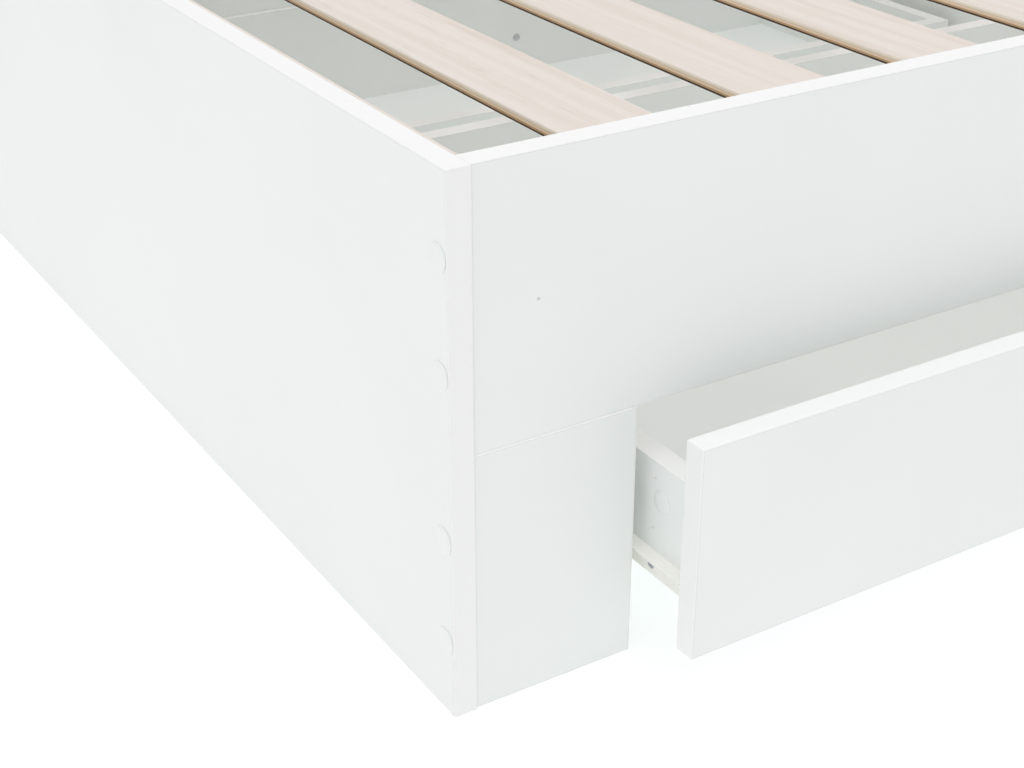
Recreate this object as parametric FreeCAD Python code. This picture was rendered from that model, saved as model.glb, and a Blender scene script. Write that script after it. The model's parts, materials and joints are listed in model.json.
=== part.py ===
import FreeCAD, Part
import math
import os

from FreeCAD import Vector

# Storage bed frame of white boards, for a 900 x 2000 mattress, with four drawers.
# Origin: centre of the frame's footprint, on the floor. +X runs to the head end, +Y to the
# right-hand side of a person lying in the bed, +Z up. All sizes are in millimetres.

os.makedirs("parts", exist_ok=True)

# ---------------------------------------------------------------- driving sizes
overall_length = 2035.0
overall_width = 935.0
overall_height = 355.0

board = 16.0              # thickness of the frame's boards
edge_ease = 0.8           # rounding of the banded board edges
end_overhang = 1.5        # how far the end boards stand proud of the rails and legs

leg_height = 178.5
leg_width = 115.0
lap_height = 94.0         # where the middle cross board and the centre board halve
centre_board_height = 188.0

slat_count = 14
slat_width = 75.0
slat_thickness = 8.0
slat_ease = 1.0
slat_end_gap = 2.0        # from a slat's end to the rail
slat_wall_gap = 0.5       # from the first slat to the end board
mattress_recess = 53.0    # from the rail's top edge down to the slats

ledge_width = 20.0
ledge_height = 25.0
ledge_end_gap = 2.0

front_side_gap = 2.0      # from a drawer front to the leg or the middle board
front_top_gap = 1.5       # from a drawer front to the rail
front_floor_gap = 29.0
drawer_board = 16.0
drawer_depth = 300.0      # length of the drawer's sides behind its front
drawer_box_bottom = 58.5
drawer_box_height = 80.0
drawer_open_at_rest = 61.5   # the left foot drawer stands a little open

bottom_panel = 3.0
bottom_panel_rise = 2.5   # from the underside of the drawer's sides to the panel
groove_depth = 6.0
groove_play = 0.5         # left free in the bottom of the groove
groove_extra = 0.2        # groove height over the panel's thickness

slide_gap = 12.5          # from the cabinet board to the drawer's side
steel = 1.2               # sheet of the slides
slide_setback = 2.0       # cabinet member, behind the drawer front's inner face
drawer_member_setback = 1.0
runner_height = 17.0      # web of the drawer member, above the underside of the drawer's side
runner_reach = 10.0       # flange under the drawer's side
flange_end_gap = 1.0      # from the drawer member's upper flange to the cabinet member's web
channel_reach = 9.6       # flanges of the cabinet member
channel_drop = 0.7        # from the drawer member's upper flange down to the channel
channel_mouth = 26.0      # stretch at the front where the channel has no flanges
roller_offset = 12.0      # from the end of a slide member to its roller's axis
roller_inset = 3.3        # from the cabinet board to the roller's face
roller_width = 6.2
roller_rim = 0.6
drawer_roller_radius = 7.5
cabinet_roller_radius = 8.0
roller_clearance = 0.3
stud_radius = 2.0
stud_head_radius = 3.2
stud_head = 0.8
stud_play = 0.3           # from a roller's face to its stud's head or collar
bore_clearance = 0.15     # radial, roller on its stud

handle_spacing = 96.0
handle_projection = 30.0
handle_rod = 5.0          # radius
handle_bend = 12.0        # radius at the middle of the rod
handle_thread_depth = 8.0

confirmat_length = 50.0
confirmat_shank = 3.5
confirmat_head = 4.8
confirmat_head_height = 3.0
confirmat_socket = 2.0    # radius of the hexagon's corners
confirmat_socket_depth = 2.2
rail_screw_spread = 71.0
leg_screw_middle = 88.0
centre_screw_heights = (50.0, 140.0)
cap_radius = 8.75
cap_height = 1.2
cap_round = 0.7

wood_screw_shank = 1.75
wood_screw_head = 3.3
wood_screw_head_height = 2.0
slat_screw_length = 20.0
ledge_screw_length = 30.0
ledge_screw_count = 6
ledge_screw_end = 150.0
slide_screw_wall = 0.7    # left between the screws of two slides on one board
slide_screw_stations = (45.0, 150.0, 255.0)
runner_screw_stations = (40.0, 150.0, 230.0)
runner_screw_wall = 1.2     # left between a runner's screw and the panel's groove
back_screw_length = 35.0
back_screw_heights = (88.0, 122.0)
panel_screw_length = 16.0
panel_screw_count = 4
panel_screw_end = 90.0

hole_clearance = 0.05     # radial, round a screw or a dowel

dowel_radius = 4.0
dowel_length = 30.0
leg_dowel_spread = 60.0
cross_dowel_heights = (40.0, 140.0)
cross_dowel_seat = 10.0   # how deep a cross board's dowel sits in the leg
small_dowel_radius = 3.0
small_dowel_length = 24.0
small_dowel_heights = (78.0, 131.0)
small_dowel_seat = 10.0

cam_radius = 7.5
cam_depth = 12.5
cam_distance = 34.0       # from the drawer front's inner face to the cam's axis
cam_height = 113.0
cam_bolt_radius = 3.0
cam_bolt_seat = 11.0
cam_pilot_radius = 1.5
cam_pilot_depth = 6.0
cam_pilot_distance = 42.0
cam_pilot_heights = (90.0, 126.0)

handle_screw_shank = 2.0
handle_screw_head = 4.0
handle_screw_head_height = 2.4

rail_pilot_radius = 1.2
rail_pilot_depth = 10.0
rail_pilot_distance = 59.5   # from the outer face of the end board

# ---------------------------------------------------------------- sizes that follow
half_length = overall_length / 2
half_width = overall_width / 2
inner_end = half_length - board
side_face = half_width - end_overhang        # outer face of rails and legs
side_inner = side_face - board
side_middle = side_face - board / 2

leg_edge = inner_end - leg_width             # edge of the leg, next to the drawer
cabinet_end = leg_edge                       # cabinet face that carries the outer slide
cabinet_middle = board / 2                   # cabinet face that carries the inner slide
drawer_centre = (cabinet_end + cabinet_middle) / 2

slat_top = overall_height - mattress_recess
ledge_top = slat_top - slat_thickness
slat_start = inner_end - slat_wall_gap - slat_width / 2
slat_pitch = 2 * slat_start / (slat_count - 1)

rail_middle = (leg_height + overall_height) / 2
rail_screw_heights = (rail_middle - rail_screw_spread / 2, rail_middle + rail_screw_spread / 2)
leg_screw_heights = (leg_screw_middle - rail_screw_spread / 2,
                     leg_screw_middle + rail_screw_spread / 2)

front_low = front_floor_gap
front_high = leg_height - front_top_gap
front_middle = (front_low + front_high) / 2
box_top = drawer_box_bottom + drawer_box_height
panel_low = drawer_box_bottom + bottom_panel_rise
panel_high = panel_low + bottom_panel
box_outer = cabinet_end - slide_gap          # outer face of the outer side
box_inner = cabinet_middle + slide_gap       # outer face of the inner side
back_face = side_inner - drawer_depth        # outer face of the drawer's back

runner_low = drawer_box_bottom - steel
runner_high = drawer_box_bottom + runner_height
channel_high = runner_high - steel - channel_drop
channel_low = channel_high - 2 * (drawer_roller_radius + roller_clearance + steel)
drawer_roller_z = (channel_low + channel_high) / 2
cabinet_roller_z = runner_high - steel - roller_clearance - cabinet_roller_radius
cabinet_front = side_inner - slide_setback
cabinet_back = cabinet_front - drawer_depth
runner_front = side_inner - drawer_member_setback
runner_back = runner_front - drawer_depth
cabinet_roller_y = cabinet_front - roller_offset
drawer_roller_y = runner_back + roller_offset
slide_screw_length = steel + board / 2 - slide_screw_wall
runner_screw_length = steel + drawer_board - groove_depth - runner_screw_wall


# ---------------------------------------------------------------- shapes
def block(corner, opposite):
    """Box between two opposite corners, given in any order."""
    low = Vector(*[min(a, b) for a, b in zip(corner, opposite)])
    high = Vector(*[max(a, b) for a, b in zip(corner, opposite)])
    size = high - low
    return Part.makeBox(size.x, size.y, size.z, low)


def eased_board(corner, opposite, ease=edge_ease):
    """Board with all its edges rounded a little."""
    solid = block(corner, opposite)
    return solid.makeFillet(ease, solid.Edges)


def rod(radius, length, position, direction):
    """Round bar that starts at position and runs along direction."""
    return Part.makeCylinder(radius, length, position, direction)


def place(shape, position, direction):
    """Copy of a shape made along +Z from the origin, turned to direction."""
    placed = shape.copy()
    placed.Placement = FreeCAD.Placement(position, FreeCAD.Rotation(Vector(0, 0, 1), direction))
    return placed


def wood_screw(length, grow=0.0):
    """Countersunk screw along +Z, head flush with z = 0; grow makes its hole."""
    head = Part.makeCone(wood_screw_head + grow, wood_screw_shank + grow, wood_screw_head_height)
    shank = rod(wood_screw_shank + grow, length + grow, Vector(0, 0, 0), Vector(0, 0, 1))
    return head.fuse(shank).removeSplitter()


def confirmat():
    """One-piece connector along +Z, head flush with z = 0, with a hexagon socket."""
    head = rod(confirmat_head, confirmat_head_height, Vector(0, 0, 0), Vector(0, 0, 1))
    shank = rod(confirmat_shank, confirmat_length, Vector(0, 0, 0), Vector(0, 0, 1))
    hexagon = Part.Wire(Part.makePolygon([
        FreeCAD.Rotation(Vector(0, 0, 1), 60 * i).multVec(Vector(confirmat_socket, 0, 0))
        for i in range(7)]))
    socket = Part.Face(hexagon).extrude(Vector(0, 0, confirmat_socket_depth))
    return head.fuse(shank).removeSplitter().cut(socket)


def confirmat_hole():
    """Stepped hole for a connector."""
    clearance = hole_clearance
    head = rod(confirmat_head + clearance, confirmat_head_height + clearance,
               Vector(0, 0, 0), Vector(0, 0, 1))
    shank = rod(confirmat_shank + clearance, confirmat_length + clearance,
                Vector(0, 0, 0), Vector(0, 0, 1))
    return head.fuse(shank)


def cover_cap():
    """Round plastic cap over a connector's head, along -Z from z = 0."""
    cap = rod(cap_radius, cap_height, Vector(0, 0, -cap_height), Vector(0, 0, 1))
    rim = [edge for edge in cap.Edges
           if edge.Curve.TypeId == "Part::GeomCircle" and edge.Curve.Center.z < -cap_height / 2]
    return cap.makeFillet(cap_round, rim)


def mirrored(shape, across_x, across_y):
    """Shape of the left foot corner, carried over to another corner."""
    if across_x:
        shape = shape.mirror(Vector(0, 0, 0), Vector(1, 0, 0))
    if across_y:
        shape = shape.mirror(Vector(0, 0, 0), Vector(0, 1, 0))
    return shape


def on_every_corner(shapes):
    """The given shapes, and their three mirror images."""
    return [mirrored(shape, across_x, across_y)
            for across_x in (False, True) for across_y in (False, True) for shape in shapes]


def drilled(solid, holes):
    """Solid with all the holes cut."""
    return solid.cut(holes)


def export(node, shape):
    shape.exportStep(os.path.join("parts", node + ".step"))


def export_group(node, solids):
    export(node, Part.makeCompound(solids))


# ---------------------------------------------------------------- fasteners of one corner
# Each list holds those of the left foot corner (x < 0, y < 0).
into_rail = [Vector(-half_length, -side_middle, z) for z in rail_screw_heights]
into_leg = [Vector(-half_length, -side_middle, z) for z in leg_screw_heights]
corner_screw_places = into_rail + into_leg
forward = Vector(1, 0, 0)

corner_screws = [place(confirmat(), p, forward) for p in corner_screw_places]
corner_screw_holes = [place(confirmat_hole(), p, forward) for p in corner_screw_places]
corner_caps = [place(cover_cap(), p, forward) for p in corner_screw_places]

leg_middle = inner_end - leg_width / 2
upright_dowel_places = [Vector(-leg_middle + offset, -side_middle, leg_height - dowel_length / 2)
                        for offset in (-leg_dowel_spread / 2, leg_dowel_spread / 2)]
cross_board_middle = cabinet_end + board / 2
cross_dowel_places = [Vector(-cross_board_middle, -side_inner - cross_dowel_seat, z)
                      for z in cross_dowel_heights]
middle_dowel_place = Vector(0, -side_middle, leg_height - dowel_length / 2)


def dowel_at(position, direction, grow=0.0):
    start = position - direction * grow
    return rod(dowel_radius + grow, dowel_length + 2 * grow, start, direction)


up = Vector(0, 0, 1)
inward = Vector(0, 1, 0)
corner_dowels = ([dowel_at(p, up) for p in upright_dowel_places]
                 + [dowel_at(p, inward) for p in cross_dowel_places])
corner_dowel_holes = ([dowel_at(p, up, hole_clearance) for p in upright_dowel_places]
                      + [dowel_at(p, inward, hole_clearance) for p in cross_dowel_places])
middle_dowels = [mirrored(dowel_at(middle_dowel_place, up), False, far) for far in (False, True)]
middle_dowel_holes = [mirrored(dowel_at(middle_dowel_place, up, hole_clearance), False, far)
                      for far in (False, True)]

centre_screw_places = [Vector(-cabinet_end - board, 0, z) for z in centre_screw_heights]
centre_screws = [place(confirmat(), p, forward) for p in centre_screw_places]
centre_screws += [mirrored(screw, True, False) for screw in centre_screws]
centre_screw_holes = [place(confirmat_hole(), p, forward) for p in centre_screw_places]
centre_screw_holes += [mirrored(hole, True, False) for hole in centre_screw_holes]

# screws that hold the slats on the ledges, and the ledges on the rails
slat_places = [-slat_start + i * slat_pitch for i in range(slat_count)]
ledge_middle = side_inner - ledge_width / 2
down = Vector(0, 0, -1)
ledge_length = inner_end - ledge_end_gap
ledge_screw_first = ledge_length - ledge_screw_end
ledge_screw_step = 2 * ledge_screw_first / (ledge_screw_count - 1)
ledge_screw_z = ledge_top - ledge_height / 2


def slat_fixings(grow=0.0):
    return [place(wood_screw(slat_screw_length, grow), Vector(x, side * ledge_middle, slat_top), down)
            for x in slat_places for side in (-1, 1)]


def ledge_fixings(grow=0.0):
    fixings = []
    for i in range(ledge_screw_count):
        x = -ledge_screw_first + i * ledge_screw_step
        for side in (-1, 1):
            head = Vector(x, side * (side_inner - ledge_width), ledge_screw_z)
            fixings.append(place(wood_screw(ledge_screw_length, grow), head, Vector(0, side, 0)))
    return fixings


# ---------------------------------------------------------------- slides of the left foot drawer
# A slide is made at the outer end, where the cabinet face is x = -cabinet_end, and mirrored
# about the drawer's middle for the inner end.
def from_cabinet(distance):
    return -cabinet_end + distance


def other_side(shape):
    """Mirror image about the middle plane of the left foot drawer."""
    return shape.mirror(Vector(-drawer_centre, 0, 0), Vector(1, 0, 0))


def outline_solid(points, start_y, end_y):
    """Outline in (x, z), drawn out from start_y to end_y."""
    wire = Part.makePolygon([Vector(x, start_y, z) for x, z in points + points[:1]])
    return Part.Face(wire).extrude(Vector(0, end_y - start_y, 0))


def slide_screws(grow=0.0):
    """Screws of the outer cabinet member, into the foot cross board."""
    return [place(wood_screw(slide_screw_length, grow),
                  Vector(from_cabinet(steel), -cabinet_front + station, drawer_roller_z),
                  Vector(-1, 0, 0))
            for station in slide_screw_stations]


def runner_screws(grow=0.0):
    """Screws of the outer drawer member, into the drawer's outer side."""
    return [place(wood_screw(runner_screw_length, grow),
                  Vector(from_cabinet(slide_gap - steel), -runner_front + station,
                         drawer_roller_z),
                  forward)
            for station in runner_screw_stations]


def stud(start, end, y, z):
    """Roller's stud from start to end, measured from the cabinet board, with a head at end."""
    way = 1 if end > start else -1
    direction = Vector(way, 0, 0)
    shaft = rod(stud_radius, abs(end - start), Vector(from_cabinet(start), y, z), direction)
    head = rod(stud_head_radius, stud_head,
               Vector(from_cabinet(end - way * stud_head), y, z), direction)
    return shaft.fuse(head)


def cabinet_member():
    """Channel on the cross board, with the stud of its front roller."""
    web = from_cabinet(steel)
    wall = from_cabinet(0)
    tip = from_cabinet(channel_reach)
    outline = [(wall, channel_low), (tip, channel_low), (tip, channel_low + steel),
               (web, channel_low + steel), (web, channel_high - steel),
               (tip, channel_high - steel), (tip, channel_high), (wall, channel_high)]
    channel = outline_solid(outline, -cabinet_front, -cabinet_back)
    mouth = block((web, -cabinet_front - 1, channel_low - 1),
                  (tip + 1, -cabinet_front + channel_mouth, channel_high + 1))
    head_end = roller_inset + roller_width + stud_play + stud_head
    axle = stud(steel, head_end, -cabinet_roller_y, cabinet_roller_z)
    return channel.cut(mouth).fuse(axle).removeSplitter().cut(slide_screws(hole_clearance))


def drawer_member():
    """Runner under and beside the drawer's side, with the stud of its rear roller."""
    outside = from_cabinet(slide_gap - steel)
    face = from_cabinet(slide_gap)
    under = from_cabinet(slide_gap + runner_reach)
    flange = from_cabinet(steel + flange_end_gap)
    outline = [(outside, runner_low), (under, runner_low), (under, drawer_box_bottom),
               (face, drawer_box_bottom), (face, runner_high), (flange, runner_high),
               (flange, runner_high - steel), (outside, runner_high - steel)]
    runner = outline_solid(outline, -runner_front, -runner_back)
    collar_end = roller_inset + roller_width + stud_play
    collar = rod(stud_head_radius, slide_gap - steel - collar_end,
                 Vector(from_cabinet(collar_end), -drawer_roller_y, drawer_roller_z), forward)
    axle = stud(slide_gap - steel, roller_inset - stud_play - stud_head,
                -drawer_roller_y, drawer_roller_z)
    whole = runner.fuse([collar, axle]).removeSplitter()
    return whole.cut(runner_screws(hole_clearance))


def roller(radius, y, z):
    """Nylon roller with rounded rims and a bore for its stud."""
    start = Vector(from_cabinet(roller_inset), y, z)
    wheel = rod(radius, roller_width, start, forward)
    wheel = wheel.makeFillet(roller_rim, [edge for edge in wheel.Edges if edge.isClosed()
                                          and abs(edge.Length - 2 * math.pi * radius) < roller_rim])
    return wheel.cut(rod(stud_radius + bore_clearance, roller_width, start, forward))


# ---------------------------------------------------------------- drawer of the left foot corner
def cam_features(grow=0.0):
    """Cam and bolt that draw the drawer's outer side to its front."""
    cam_x = -box_outer
    cam_y = -side_inner + cam_distance
    cam = rod(cam_radius + grow, cam_depth + grow, Vector(cam_x, cam_y, cam_height), forward)
    bolt_x = -box_outer + drawer_board / 2
    bolt_start = Vector(bolt_x, -side_inner - cam_bolt_seat - grow, cam_height)
    bolt_length = cam_bolt_seat + cam_distance - cam_radius + grow
    return [cam, rod(cam_bolt_radius + grow, bolt_length, bolt_start, inward)]


def side_dowels(grow=0.0):
    """Dowels between the drawer's outer side and its front."""
    x = -box_outer + drawer_board / 2
    return [rod(small_dowel_radius + grow, small_dowel_length + 2 * grow,
                Vector(x, -side_inner - small_dowel_seat - grow, z), inward)
            for z in small_dowel_heights]


def back_screws(grow=0.0):
    """Screws through the drawer's outer side into its back."""
    return [place(wood_screw(back_screw_length, grow),
                  Vector(-box_outer, -back_face - drawer_board / 2, z), forward)
            for z in back_screw_heights]


def panel_screws(grow=0.0):
    """Screws through the bottom panel, up into the drawer's back."""
    first = -box_outer + panel_screw_end
    step = 2 * (-drawer_centre - first) / (panel_screw_count - 1)
    return [place(wood_screw(panel_screw_length, grow),
                  Vector(first + i * step, -back_face - drawer_board / 2, panel_low), up)
            for i in range(panel_screw_count)]


handle_screw_places = [Vector(-drawer_centre + offset, -side_inner, front_middle)
                       for offset in (-handle_spacing / 2, handle_spacing / 2)]
outward = Vector(0, -1, 0)


def handle_screws(grow=0.0):
    """Pan-head screws from inside the drawer front into the handle."""
    screws = []
    for position in handle_screw_places:
        head_start = position + inward * handle_screw_head_height
        head = rod(handle_screw_head + grow, handle_screw_head_height, head_start, outward)
        shank_length = board + handle_thread_depth + grow
        shank = rod(handle_screw_shank + grow, shank_length, position, outward)
        screws.append(head.fuse(shank).removeSplitter())
    return screws


def drawer_handle():
    """Bow handle: two posts, two bends and a straight grip."""
    rise = handle_projection - handle_rod
    post_length = rise - handle_bend
    grip_length = handle_spacing - 2 * handle_bend
    face = Vector(-drawer_centre, -side_face, front_middle)
    centre_line = []
    half = handle_spacing / 2
    turn = handle_bend * math.sqrt(0.5)
    left_foot = face + Vector(-half, 0, 0)
    left_bend = face + Vector(-half, -post_length, 0)
    left_middle = face + Vector(-half + handle_bend - turn, -post_length - turn, 0)
    left_grip = face + Vector(-half + handle_bend, -rise, 0)
    centre_line.append(Part.LineSegment(left_foot, left_bend).toShape())
    centre_line.append(Part.Arc(left_bend, left_middle, left_grip).toShape())
    right_grip = left_grip + Vector(grip_length, 0, 0)
    right_middle = face + Vector(half - handle_bend + turn, -post_length - turn, 0)
    right_bend = face + Vector(half, -post_length, 0)
    centre_line.append(Part.LineSegment(left_grip, right_grip).toShape())
    centre_line.append(Part.Arc(right_grip, right_middle, right_bend).toShape())
    right_foot = face + Vector(half, 0, 0)
    centre_line.append(Part.LineSegment(right_bend, right_foot).toShape())
    section = Part.Wire(Part.makeCircle(handle_rod, left_foot, outward))
    bow = Part.Wire(centre_line).makePipeShell([section], True, True)
    return bow.cut(handle_screws(hole_clearance))


def build_drawer():
    """All pieces of the left foot drawer, closed, by the end of their node's name."""
    front = eased_board((-cabinet_end + front_side_gap, -side_face, front_low),
                        (-cabinet_middle - front_side_gap, -side_inner, front_high))
    outer_side = eased_board((-box_outer, -side_inner, drawer_box_bottom),
                             (-box_outer + drawer_board, -back_face, box_top))
    back = eased_board((-box_outer + drawer_board, -back_face, panel_high),
                       (-box_inner - drawer_board, -back_face - drawer_board, box_top))
    edge = groove_depth - groove_play
    bottom = block((-box_outer + drawer_board - edge, -side_inner - edge, panel_low),
                   (-box_inner - drawer_board + edge, -back_face, panel_high))
    groove = block((-box_outer + drawer_board - groove_depth, -side_inner - groove_depth,
                    panel_low - groove_extra),
                   (-box_inner - drawer_board + groove_depth, -back_face + 1, panel_high))
    cam_pilots = [rod(cam_pilot_radius, cam_pilot_depth,
                      Vector(-box_outer, -side_inner + cam_pilot_distance, z), forward)
                  for z in cam_pilot_heights]
    joint_holes = cam_features(hole_clearance) + side_dowels(hole_clearance)
    side_holes = joint_holes + back_screws(hole_clearance) + runner_screws(hole_clearance)
    outer_side = drilled(outer_side, side_holes + cam_pilots + [groove])
    front_holes = joint_holes + [other_side(hole) for hole in joint_holes]
    front = drilled(front, front_holes + handle_screws(hole_clearance) + [groove])
    back_holes = back_screws(hole_clearance)
    back_holes += [other_side(hole) for hole in back_holes] + panel_screws(hole_clearance)
    paired = cam_features() + side_dowels() + back_screws() + runner_screws()
    fasteners = paired + [other_side(piece) for piece in paired]
    runner = drawer_member()
    wheel = roller(drawer_roller_radius, -drawer_roller_y, drawer_roller_z)
    return {
        "drawer_front": front,
        "drawer_outer_side": outer_side,
        "drawer_inner_side": other_side(outer_side),
        "drawer_back": drilled(back, back_holes),
        "drawer_bottom": drilled(bottom, panel_screws(hole_clearance)),
        "drawer_handle": drawer_handle(),
        "drawer_slides": Part.makeCompound([runner, other_side(runner)]),
        "drawer_fasteners": Part.makeCompound(fasteners + handle_screws() + panel_screws()),
        "drawer_rollers": Part.makeCompound([wheel, other_side(wheel)]),
    }


# ---------------------------------------------------------------- frame
def build_end_board():
    """Board at the foot end; the head end's is its mirror image."""
    end = eased_board((-half_length, -half_width, 0), (-inner_end, half_width, overall_height))
    return drilled(end, corner_screw_holes
                   + [mirrored(hole, False, True) for hole in corner_screw_holes])


def build_rail():
    rail = eased_board((-inner_end, -side_face, leg_height), (inner_end, -side_inner, overall_height))
    holes = corner_screw_holes + corner_dowel_holes
    pilot = rod(rail_pilot_radius, rail_pilot_depth,
                Vector(-half_length + rail_pilot_distance, -side_face, rail_middle), inward)
    holes = holes + [pilot]
    holes = holes + [mirrored(hole, True, False) for hole in holes]
    return drilled(rail, holes + middle_dowel_holes + ledge_fixings(hole_clearance))


def build_leg():
    leg = eased_board((-inner_end, -side_face, 0), (-leg_edge, -side_inner, leg_height))
    return drilled(leg, corner_screw_holes + corner_dowel_holes)


def build_cross_board():
    """Board behind the foot-end legs, which carries the outer slides."""
    cross = eased_board((-cabinet_end - board, -side_inner, 0), (-cabinet_end, side_inner, leg_height))
    holes = corner_dowel_holes + slide_screws(hole_clearance)
    holes = holes + [mirrored(hole, False, True) for hole in holes]
    return drilled(cross, holes + centre_screw_holes)


def build_middle_cross_board():
    """Board between the drawers, halved from the top for the centre board."""
    cross = eased_board((-board / 2, -side_face, 0), (board / 2, side_face, leg_height))
    slot = board / 2 + groove_extra
    notch = block((-board, -slot, lap_height), (board, slot, leg_height + 1))
    screw_holes = on_every_corner([other_side(hole) for hole in slide_screws(hole_clearance)])
    return drilled(cross, [notch] + screw_holes + middle_dowel_holes)


def build_centre_board():
    """Long board under the middle of the slats, halved from below."""
    centre = eased_board((-cabinet_end, -board / 2, 0), (cabinet_end, board / 2, centre_board_height))
    slot = board / 2 + groove_extra
    notch = block((-slot, -board, -1), (slot, board, lap_height))
    return drilled(centre, [notch] + centre_screw_holes)


def build_ledge():
    """Batten on the left rail, under the slats' ends."""
    ledge = eased_board((-ledge_length, -side_inner, ledge_top - ledge_height),
                        (ledge_length, -side_inner + ledge_width, ledge_top))
    return drilled(ledge, slat_fixings(hole_clearance) + ledge_fixings(hole_clearance))


def build_slats():
    """Plywood slats, each held by a screw at both ends."""
    slat_end = side_inner - slat_end_gap
    slats = []
    for x in slat_places:
        slat = eased_board((x - slat_width / 2, -slat_end, ledge_top),
                           (x + slat_width / 2, slat_end, slat_top), slat_ease)
        holes = [place(wood_screw(slat_screw_length, hole_clearance),
                       Vector(x, side * ledge_middle, slat_top), down) for side in (-1, 1)]
        slats.append(drilled(slat, holes))
    return slats


end_board = build_end_board()
export("footboard", end_board)
export("headboard", mirrored(end_board, True, False))
export("foot_cross_board", build_cross_board())
export("head_cross_board", mirrored(build_cross_board(), True, False))
export("middle_cross_board", build_middle_cross_board())
export("centre_board", build_centre_board())
for side_name, right in (("left", False), ("right", True)):
    export(side_name + "_rail", mirrored(build_rail(), False, right))
    export(side_name + "_slat_ledge", mirrored(build_ledge(), False, right))
    for end_name, head in (("foot", False), ("head", True)):
        export(side_name + "_" + end_name + "_leg", mirrored(build_leg(), head, right))
export_group("slats", build_slats())

left_foot_slides = [cabinet_member(), other_side(cabinet_member())]
left_foot_slide_screws = slide_screws() + [other_side(screw) for screw in slide_screws()]
export_group("cabinet_slides", on_every_corner(left_foot_slides))
export_group("wood_screws", on_every_corner(left_foot_slide_screws)
             + slat_fixings() + ledge_fixings())
export_group("frame_screws", on_every_corner(corner_screws) + centre_screws)
export_group("cover_caps", on_every_corner(corner_caps))
export_group("dowels", on_every_corner(corner_dowels) + middle_dowels)

# ---------------------------------------------------------------- drawers
left_foot_drawer = build_drawer()
front_roller = roller(cabinet_roller_radius, -cabinet_roller_y, cabinet_roller_z)
cabinet_rollers = Part.makeCompound([front_roller, other_side(front_roller)])
for side_name, right in (("left", False), ("right", True)):
    for end_name, head in (("foot", False), ("head", True)):
        name = side_name + "_" + end_name + "_"
        opened = drawer_open_at_rest if (side_name, end_name) == ("left", "foot") else 0.0
        for piece_name, piece in left_foot_drawer.items():
            moved = mirrored(piece, head, right)
            export(name + piece_name, moved.translated(Vector(0, -opened, 0)))
        export(name + "cabinet_rollers", mirrored(cabinet_rollers, head, right))
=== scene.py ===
# %% [markdown]
# # A white storage bed, finished around its CAD frame
# The bed is a kit of flat boards with plywood slats and four drawers on roller slides. The CAD
# model already holds every size, hole and joint, so this script never moves or reshapes it.
# It loads that model, builds a finished piece for each part that shows, gives every surface a
# material made from nodes, and lets each piece ride on the body that moves it.

# %% Loading the frame
import json
import math

import bmesh
import bpy
from mathutils import Matrix, Vector

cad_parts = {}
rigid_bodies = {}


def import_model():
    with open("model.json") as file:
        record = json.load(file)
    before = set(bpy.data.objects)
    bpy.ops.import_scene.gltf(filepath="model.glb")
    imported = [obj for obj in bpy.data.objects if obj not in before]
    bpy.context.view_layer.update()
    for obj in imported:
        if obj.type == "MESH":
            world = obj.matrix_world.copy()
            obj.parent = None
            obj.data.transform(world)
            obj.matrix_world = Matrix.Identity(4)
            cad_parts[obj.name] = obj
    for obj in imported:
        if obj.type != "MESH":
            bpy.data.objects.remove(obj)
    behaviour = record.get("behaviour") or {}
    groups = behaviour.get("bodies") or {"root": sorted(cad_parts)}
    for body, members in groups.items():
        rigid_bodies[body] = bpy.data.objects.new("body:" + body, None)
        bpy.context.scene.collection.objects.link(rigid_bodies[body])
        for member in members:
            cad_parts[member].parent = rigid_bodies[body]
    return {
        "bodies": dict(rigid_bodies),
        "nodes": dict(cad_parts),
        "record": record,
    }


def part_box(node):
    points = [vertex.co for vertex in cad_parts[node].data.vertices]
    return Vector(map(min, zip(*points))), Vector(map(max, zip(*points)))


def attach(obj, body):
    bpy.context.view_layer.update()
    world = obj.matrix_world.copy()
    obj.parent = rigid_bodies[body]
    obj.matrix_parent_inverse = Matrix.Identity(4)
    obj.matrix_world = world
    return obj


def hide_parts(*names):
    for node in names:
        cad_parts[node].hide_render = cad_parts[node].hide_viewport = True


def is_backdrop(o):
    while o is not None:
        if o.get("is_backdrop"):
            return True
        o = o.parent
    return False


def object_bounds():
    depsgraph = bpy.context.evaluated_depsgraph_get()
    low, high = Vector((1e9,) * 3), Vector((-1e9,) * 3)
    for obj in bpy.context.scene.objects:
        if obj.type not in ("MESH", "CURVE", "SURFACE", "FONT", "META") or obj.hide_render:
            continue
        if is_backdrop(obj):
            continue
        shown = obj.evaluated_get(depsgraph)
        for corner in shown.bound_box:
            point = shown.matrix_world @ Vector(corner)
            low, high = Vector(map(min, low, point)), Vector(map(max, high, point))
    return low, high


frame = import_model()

cad_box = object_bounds()
slot_of_node = {row["node"]: row["material_slot"] for row in frame["record"]["subparts"]}
millimetre = 0.001

# %% [markdown]
# ## Small helpers for node trees
# Shader trees and Geometry Nodes trees are both built from code here. Three helpers keep that
# code short: `feed` sets a socket or links to it, `add` makes a node with its settings and
# inputs, and `maths` is one arithmetic step. Everything below is written with them.

# %% Helpers for nodes
def feed(tree, socket, value):
    """Link value to the socket if it is a socket too, or else set it."""
    if isinstance(value, bpy.types.NodeSocket):
        tree.links.new(value, socket)
    else:
        socket.default_value = value


def add(tree, kind, inputs=None, **settings):
    """New node with its settings, and its inputs by name or number."""
    made = tree.nodes.new(kind)
    for name, value in settings.items():
        setattr(made, name, value)
    for name, value in (inputs or {}).items():
        feed(tree, made.inputs[name], value)
    return made


def maths(tree, operation, *values):
    """One arithmetic step on plain numbers."""
    made = tree.nodes.new("ShaderNodeMath")
    made.operation = operation
    for socket, value in zip(made.inputs, values):
        feed(tree, socket, value)
    return made.outputs[0]


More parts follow.
